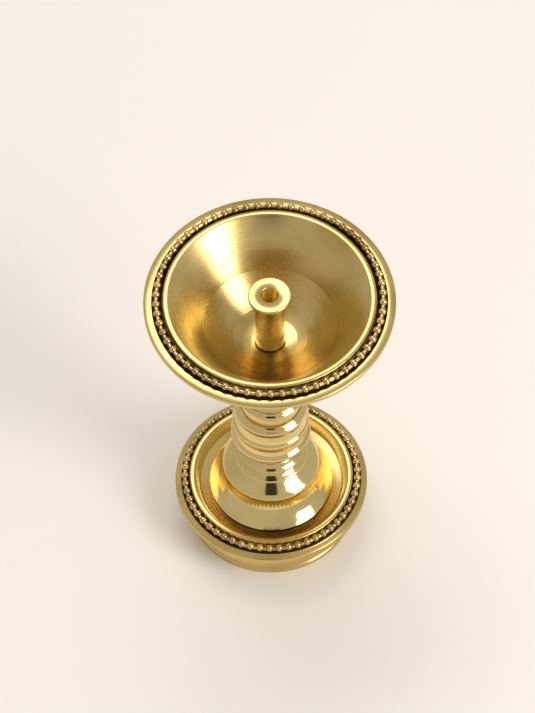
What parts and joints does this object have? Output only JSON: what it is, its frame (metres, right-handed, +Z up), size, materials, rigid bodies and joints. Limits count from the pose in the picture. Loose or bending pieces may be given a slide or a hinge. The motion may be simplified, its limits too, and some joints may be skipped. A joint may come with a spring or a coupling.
{
  "type": "pedestal diya",
  "caption": "Turned brass pedestal oil lamp with a beaded drip tray, stacked ringed stem, beaded open bowl and removable wick holder.",
  "frame": {"origin": "centre of the foot ring's resting plane", "axes": "+Z up along the turning axis"},
  "size_m": [0.084, 0.084, 0.1311],
  "materials": {
    "satin_brass": "turned, satin",
    "bead_brass": "satin beads with dark patina between them",
    "polished_brass": "mirror polished",
    "rod_steel": "threaded steel"
  },
  "bodies": {
    "stand": {"base_tray": "satin_brass", "base_bead_ring": "bead_brass", "trumpet_foot": "polished_brass", "lower_bell": "polished_brass", "ringed_drum": "polished_brass", "upper_collar": "polished_brass", "neck": "polished_brass", "tie_rod": "rod_steel", "base_washer": "satin_brass", "base_nut": "satin_brass"},
    "bowl_body": {"bowl": "satin_brass", "bowl_bead_ring": "bead_brass"},
    "wick_body": {"wick_holder": "satin_brass"}
  },
  "joints": [
    {"name": "bowl_lift", "type": "slide", "parent": "stand", "child": "bowl_body", "axis": [0, 0, 1], "range_m": [0, 0.015]},
    {"name": "wick_holder_lift", "type": "slide", "parent": "bowl_body", "child": "wick_body", "axis": [0, 0, 1], "range_m": [0, 0.04]}
  ]
}
